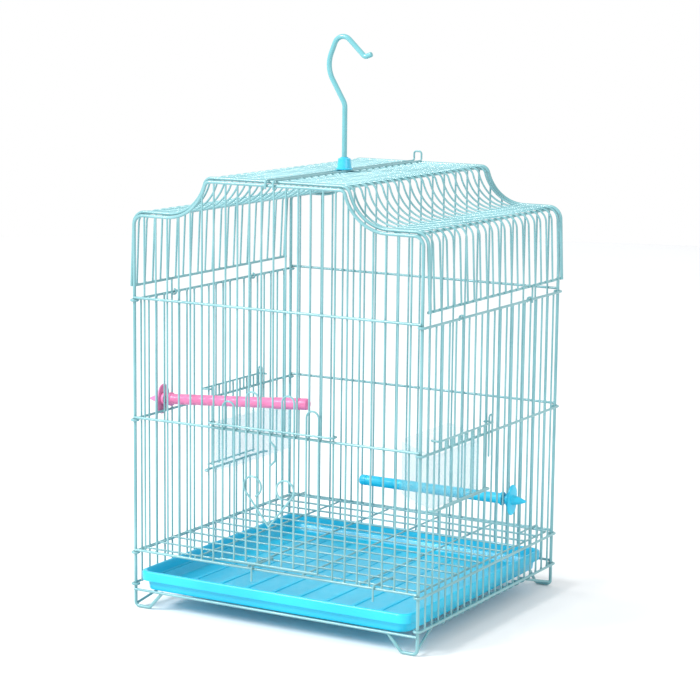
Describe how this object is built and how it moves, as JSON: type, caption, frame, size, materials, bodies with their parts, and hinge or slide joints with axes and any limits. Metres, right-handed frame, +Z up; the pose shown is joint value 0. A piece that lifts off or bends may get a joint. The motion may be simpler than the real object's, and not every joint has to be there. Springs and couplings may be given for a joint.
{
  "type": "bird cage",
  "caption": "Small hanging wire bird cage with a shaped lift-up roof, sliding door, pull-out tray, feeders, perches and a top hook.",
  "frame": {"origin": "middle of the footprint on the floor the feet stand on", "axes": "+Z up, -Y towards the door and the tray's front, +X to the right of the door"},
  "size_m": [0.3407, 0.2854, 0.5296],
  "materials": {
    "cage_wire": "glossy light blue-green coating on steel wire",
    "hook_wire": "glossy light blue-green coating",
    "collar_plastic": "moulded, glossy",
    "tray_plastic": "moulded, satin gloss",
    "feeder_plastic": "milky and see-through",
    "pink_plastic": "moulded, satin",
    "blue_plastic": "moulded, satin"
  },
  "bodies": {
    "cage": {"front_frame": "cage_wire", "front_bars": "cage_wire", "front_rails": "cage_wire", "rear_frame": "cage_wire", "rear_bars": "cage_wire", "rear_rails": "cage_wire", "left_bars": "cage_wire", "left_rails": "cage_wire", "left_tray_hooks": "cage_wire", "left_tray_rail": "cage_wire", "left_feeder_sill": "cage_wire", "right_bars": "cage_wire", "right_rails": "cage_wire", "right_tray_hooks": "cage_wire", "right_tray_rail": "cage_wire", "right_feeder_sill": "cage_wire", "pink_perch_rod": "pink_plastic", "blue_perch_rod": "blue_plastic"},
    "roof": {"roof_hoops": "cage_wire", "roof_end_wires": "cage_wire", "roof_ties": "cage_wire", "roof_hinge_eyes": "cage_wire", "roof_saddle_clips": "cage_wire", "hook_carrier": "cage_wire", "hook_collar": "collar_plastic", "hook_washer": "collar_plastic"},
    "hook": {"hook_rod": "hook_wire"},
    "front_door": {"door_bars": "cage_wire", "door_top_bar": "cage_wire", "door_foot_bar": "cage_wire", "door_heart": "cage_wire"},
    "floor_grid": {"grid_cross_wires": "cage_wire", "grid_long_wires": "cage_wire", "grid_hooks": "cage_wire"},
    "tray": {"tray": "tray_plastic"},
    "left_feeder": {"left_feeder": "feeder_plastic"},
    "right_feeder": {"right_feeder": "feeder_plastic"},
    "left_feeder_door": {"left_feeder_door": "cage_wire"},
    "right_feeder_door": {"right_feeder_door": "cage_wire"},
    "pink_perch_nut": {"pink_perch_nut": "pink_plastic"},
    "blue_perch_nut": {"blue_perch_nut": "blue_plastic"}
  },
  "joints": [
    {"name": "roof_hinge", "type": "hinge", "parent": "cage", "child": "roof", "pos_m": [-0.1514, 0, 0.2883], "axis": [0, -1, 0], "range_deg": [0, 100]},
    {"name": "hook_swivel", "type": "hinge", "parent": "roof", "child": "hook", "pos_m": [-0.0033, -0.0085, 0.45], "axis": [0, 0, 1], "continuous": true},
    {"name": "front_door_slide", "type": "slide", "parent": "cage", "child": "front_door", "axis": [0, 0, 1], "range_m": [0, 0.1]},
    {"name": "tray_slide", "type": "slide", "parent": "cage", "child": "tray", "axis": [0, -1, 0], "range_m": [0, 0.26]},
    {"name": "grid_tilt", "type": "hinge", "parent": "cage", "child": "floor_grid", "pos_m": [0, -0.1384, 0.055], "axis": [1, 0, 0], "range_deg": [0, 12]},
    {"name": "left_feeder_lift", "type": "slide", "parent": "cage", "child": "left_feeder", "axis": [0, 0, 1], "range_m": [0, 0.012]},
    {"name": "right_feeder_lift", "type": "slide", "parent": "cage", "child": "right_feeder", "axis": [0, 0, 1], "range_m": [0, 0.012]},
    {"name": "left_feeder_door_slide", "type": "slide", "parent": "cage", "child": "left_feeder_door", "axis": [0, 0, 1], "range_m": [0, 0.05]},
    {"name": "right_feeder_door_slide", "type": "slide", "parent": "cage", "child": "right_feeder_door", "axis": [0, 0, 1], "range_m": [0, 0.05]},
    {"name": "pink_nut_turn", "type": "hinge", "parent": "cage", "child": "pink_perch_nut", "pos_m": [-0.1495, -0.08125, 0.188], "axis": [-0.9976, 0, -0.0698], "continuous": true},
    {"name": "blue_nut_turn", "type": "hinge", "parent": "cage", "child": "blue_perch_nut", "pos_m": [0.1495, 0.03125, 0.107], "axis": [1, 0, 0], "continuous": true}
  ]
}
